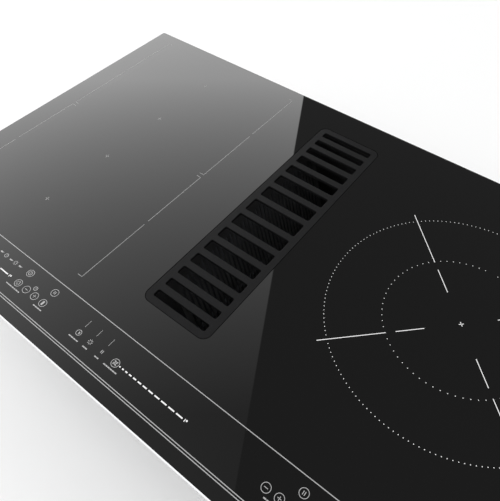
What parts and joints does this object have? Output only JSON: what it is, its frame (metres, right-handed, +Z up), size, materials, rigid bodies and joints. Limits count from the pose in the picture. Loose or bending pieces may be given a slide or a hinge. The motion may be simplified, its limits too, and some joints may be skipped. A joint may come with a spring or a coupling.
{
  "type": "downdraft induction cooktop",
  "caption": "Flush black glass induction hob with a slotted central air intake over a grease filter, drip tray and flat radial blower with a rear flat-duct outlet.",
  "frame": {"origin": "centre of the footprint on the surface the unit stands on, under the middle of the glass", "axes": "+X to the cook's right, +Y to the back of the worktop, +Z up through the glass"},
  "size_m": [0.83, 0.515, 0.21],
  "materials": {
    "ceramic_glass": "polished opaque black glass ceramic",
    "rubber": "matt black",
    "aluminium": "mill finish",
    "sheet_steel": "zinc coated sheet",
    "screw_steel": "zinc plated",
    "grille_black": "matt black coating on cast aluminium",
    "black_plastic": "fine moulded grain",
    "filter_steel": "dark passivated",
    "duct_plastic": "glass-filled moulding, fine grain",
    "tray_plastic": "moulded",
    "motor_steel": "grey passivated",
    "winding": "varnished stranded copper",
    "former_plastic": "heat resistant moulding",
    "ferrite": "sintered",
    "mica": "pressed mica",
    "sensor_white": "ceramic white",
    "board": "green solder resist",
    "capacitor_sleeve": "shrink sleeve"
  },
  "bodies": {
    "chassis": {"blower_controller": "duct_plastic", "blower_cover": "duct_plastic", "blower_scroll": "duct_plastic", "board_standoffs": "former_plastic", "cable_gland": "black_plastic", "capacitors": "capacitor_sleeve", "carrier_posts": "former_plastic", "casing_floor": "sheet_steel", "casing_screws": "screw_steel", "casing_walls": "sheet_steel", "clamp_bolts": "screw_steel", "coil_carrier_left": "aluminium", "coil_carrier_right": "aluminium", "control_board": "board", "cooling_fan_left": "black_plastic", "cooling_fan_right": "black_plastic", "flex_ferrites": "ferrite", "flex_formers": "former_plastic", "flex_winding_1": "winding", "flex_winding_2": "winding", "flex_winding_3": "winding", "flex_winding_4": "winding", "glass_frame": "aluminium", "glass_top": "ceramic_glass", "grille_seat": "black_plastic", "heatsink_left": "aluminium", "heatsink_right": "aluminium", "intake_shaft": "duct_plastic", "light_guide": "sensor_white", "mica_sheets": "mica", "motor_bearings": "screw_steel", "motor_bushes": "rubber", "motor_stator": "motor_steel", "mount_clamps": "sheet_steel", "outlet_duct": "duct_plastic", "plenum": "duct_plastic", "power_board_left": "board", "power_board_right": "board", "rim_gasket": "rubber", "round_ferrites": "ferrite", "round_former": "former_plastic", "round_winding_inner": "winding", "round_winding_outer": "winding", "shaft_screws": "screw_steel", "shaft_seal": "rubber", "sump": "duct_plastic", "temperature_sensors": "sensor_white", "terminal_block": "former_plastic"},
    "filter": {"filter_frame": "filter_steel", "filter_screen_left": "filter_steel", "filter_screen_right": "filter_steel"},
    "grille": {"grille": "grille_black", "grille_pads": "rubber"},
    "tray": {"drip_tray": "tray_plastic", "tray_seal": "rubber"},
    "fan_wheel": {"impeller": "black_plastic", "motor_rotor": "motor_steel"},
    "flap": {"backflow_flap": "tray_plastic"},
    "cooling_wheel_left": {"cooling_rotor_left": "black_plastic"},
    "cooling_wheel_right": {"cooling_rotor_right": "black_plastic"}
  },
  "joints": [
    {"name": "filter_lift", "type": "slide", "parent": "chassis", "child": "filter", "axis": [0, 0, 1], "range_m": [0, 0.135]},
    {"name": "grille_lift", "type": "slide", "parent": "filter", "child": "grille", "axis": [0, 0, 1], "range_m": [0, 0.12]},
    {"name": "tray_drop", "type": "slide", "parent": "chassis", "child": "tray", "axis": [0, 0, -1], "range_m": [0, 0.045]},
    {"name": "impeller_spin", "type": "hinge", "parent": "chassis", "child": "fan_wheel", "pos_m": [0.168, 0.022, 0.03], "axis": [0, 0, 1], "continuous": true},
    {"name": "flap_swing", "type": "hinge", "parent": "chassis", "child": "flap", "pos_m": [0.256, 0.174, 0.082], "axis": [1, 0, 0], "range_deg": [0, 55]},
    {"name": "cooling_spin_left", "type": "hinge", "parent": "chassis", "child": "cooling_wheel_left", "pos_m": [-0.113, -0.08, 0.157], "axis": [0, 0, 1], "continuous": true},
    {"name": "cooling_spin_right", "type": "hinge", "parent": "chassis", "child": "cooling_wheel_right", "pos_m": [0.322, -0.025, 0.157], "axis": [0, 0, 1], "continuous": true}
  ]
}
